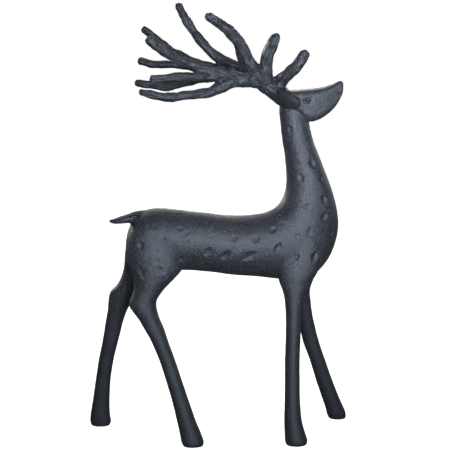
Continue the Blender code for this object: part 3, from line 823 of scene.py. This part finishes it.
def ease(value, low, high):
    """0 below low, 1 above high, with a smooth step between."""
    return Wire.add(tree, "ShaderNodeMapRange", {"interpolation_type": "SMOOTHSTEP"},
                    {"Value": value, "From Min": low, "From Max": high})


grain = paint_noise(650, 2)
fleck = ease(paint_noise(750, 1), 0.58, 0.68)
cloud = paint_noise(70, 3)
relief = Wire.add(tree, "ShaderNodeAttribute", {"attribute_name": "hollow"}, {}, "Fac")
# The relief column paints a lighter highlight on the ridges.
ridge_highlight = ease(relief, -0.1, -0.9)
# It paints shade into the hollows, darker still in the deepest creases and the ears.
hollow_shade = ease(relief, 0.1, 0.9)
crease_shade = ease(relief, 0.5, 1.0)
height = Wire.add(tree, "ShaderNodeSeparateXYZ", {}, {"Vector": spot}, "Z")
low_down = ease(height, LOW_DOWN_FROM, LOW_DOWN_TO)
pale = (grain - 0.5) * (1.5 - low_down * 0.8) + (cloud - 0.5) * 0.3
# The painted highlight on ridges and the painted shade in hollows and creases go into the paleness here.
pale = pale + fleck * (0.75 - low_down * 0.5) + ridge_highlight * 0.2 - hollow_shade * 0.2 - crease_shade * 0.2 + 0.08
pale = Wire.add(tree, "ShaderNodeClamp", {}, {"Value": pale})
colour = Wire.add(tree, "ShaderNodeMix", {"data_type": "RGBA"}, {
    "Factor": pale, "A": IRON_DARK, "B": IRON_PALE}, "Result")
tree.links.new(colour.socket, shade.inputs["Base Color"])
rough = 0.42 + (cloud - 0.5) * 0.12 + (grain - 0.5) * 0.36 + crease_shade * 0.3 - ridge_highlight * 0.05 + low_down * 0.14
tree.links.new(rough.socket, shade.inputs["Roughness"])
grit = (grain + paint_noise(2400, 1) * 0.3 + fleck * 0.3) * (1.0 - low_down * 0.5)
bump = Wire.add(tree, "ShaderNodeBump", {}, {"Strength": 0.8, "Distance": BUMP_HEIGHT, "Height": grit})
tree.links.new(bump.socket, shade.inputs["Normal"])
shade.inputs["Metallic"].default_value = 0.0
shade.inputs["Specular IOR Level"].default_value = 0.25
shade.inputs["Specular Tint"].default_value = (0.75, 0.855, 1, 1)

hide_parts("stag")
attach(stag, "root")

# Studio: a pale matt floor that runs out past the picture, glows evenly and casts no light on the stag.
# Broad soft lamps in front model the flank, others behind and a wide sun light the back and the far
# side, and three narrow lamps reach the neck, the head and the nose.
FLOOR_COLOUR = (0.90, 0.90, 0.90, 1)
FLOOR_REACH = 60
FLOOR_GLOW = 0.75
AIR_GLOW = 0.1
LAMP_COLOUR = (0.95, 0.98, 1)
SUN_COLOUR, SUN_ANGLE = (1, 0.96, 0.91), 50
SOFTBOX_SIZE, SOFTBOX_SPREAD = 0.5, 40
SOFTBOXES = (
    ((-0.40, -1.60, 0.75), 0.30, 0.42),
    ((0.45, -1.60, 0.75), 0.32, 1.20),
    ((0.45, -1.10, 1.45), 0.30, 0.45),
    ((1.30, -1.10, 0.40), 0.30, 0.06),
    ((-1.30, -1.10, 0.40), 0.30, 0.12),
    ((0.20, -1.75, 0.30), 0.38, 2.15),
    ((-0.80, 1.40, 0.60), 0.30, 0.55),
    ((0.60, 1.50, 0.60), 0.32, 0.75),
    ((0.10, 1.75, 0.20), 0.36, 1.30),
    ((1.40, 1.00, 0.60), 0.28, 0.30),
    ((-1.50, 0.80, 0.50), 0.26, 0.20),
)
NARROW_LAMPS = (
    ("neck_light", (-0.25, -1.62, 0.60), (0.09, 0, 0.31), 0.30, 0.3, 15),
    ("head_light", (0.31, -1.70, 0.15), (0.10, 0, 0.345), 0.022, 0.2, 9),
    ("nose_light", (1.20, -1.27, 0.15), (0.11, 0, 0.375), 0.032, 0.15, 7),
)
studio_floor = bpy.data.objects.new("studio_floor", bpy.data.meshes.new("studio_floor"))
work = bmesh.new()
bmesh.ops.create_grid(work, x_segments=1, y_segments=1, size=FLOOR_REACH)
work.to_mesh(studio_floor.data)
work.free()
bpy.context.collection.objects.link(studio_floor)
matt = bpy.data.materials.new("studio_floor")
matt.use_nodes = True
paint = matt.node_tree.nodes["Principled BSDF"].inputs
paint["Base Color"].default_value = FLOOR_COLOUR
paint["Roughness"].default_value = 1.0
paint["Specular IOR Level"].default_value = 0.0
paint["Emission Color"].default_value = (1, 1, 1, 1)
paint["Emission Strength"].default_value = FLOOR_GLOW
studio_floor.data.materials.append(matt)
studio_floor.visible_glossy = False
studio_floor.visible_diffuse = False


def add_lamp(name, kind, place, target, power, colour, **sizes):
    """A soft lamp of one kind, facing a target."""
    lamp = bpy.data.objects.new(name, bpy.data.lights.new(name, kind))
    for label, value in sizes.items():
        setattr(lamp.data, label, value)
    lamp.data.energy = power
    lamp.data.color = colour
    lamp.location = place
    aim = Vector(target) - Vector(place)
    lamp.rotation_euler = aim.to_track_quat("-Z", "Y").to_euler()
    lamp.visible_camera = False
    bpy.context.collection.objects.link(lamp)


add_lamp("back_light", "SUN", (0.0, 2.0, 1.5), (0, 0, 0), 1.0, SUN_COLOUR, angle=math.radians(SUN_ANGLE))
for place, aim_height, power in SOFTBOXES:
    add_lamp("softbox", "AREA", place, (0, 0, aim_height), power, LAMP_COLOUR,
             size=SOFTBOX_SIZE, spread=math.radians(SOFTBOX_SPREAD))
for name, place, target, power, size, spread in NARROW_LAMPS:
    add_lamp(name, "AREA", place, target, power, LAMP_COLOUR, size=size, spread=math.radians(spread))
world = bpy.data.worlds.new("studio_air")
bpy.context.scene.world = world
world.use_nodes = True
world.node_tree.nodes["Background"].inputs["Color"].default_value = (1, 1, 1, 1)
world.node_tree.nodes["Background"].inputs["Strength"].default_value = AIR_GLOW
bpy.context.scene.view_settings.view_transform = "Standard"

# Camera: the photograph's viewing angle, worked out from the feet, the back and the antler tips.
# It looks down 10.46 degrees from 1.7 m away, turned 4.7 degrees to the right of square.
CAMERA_DISTANCE = 1.682
CAMERA_HEIGHT = 0.525
CAMERA_TURN = math.radians(4.7)
CAMERA_DROP = math.radians(10.463)
CAMERA_AIM_X = 0.0065
CAMERA_LENS, CAMERA_SENSOR = 137.577, 36
camera = bpy.data.objects.new("camera", bpy.data.cameras.new("camera"))
camera.data.lens = CAMERA_LENS
camera.data.sensor_width = CAMERA_SENSOR
camera.location = (CAMERA_AIM_X - middle[0] - math.sin(CAMERA_TURN) * CAMERA_DISTANCE,
                   -middle[1] - math.cos(CAMERA_TURN) * CAMERA_DISTANCE, CAMERA_HEIGHT)
camera.rotation_euler = (math.pi / 2 - CAMERA_DROP, 0, -CAMERA_TURN)
bpy.context.collection.objects.link(camera)
bpy.context.scene.camera = camera
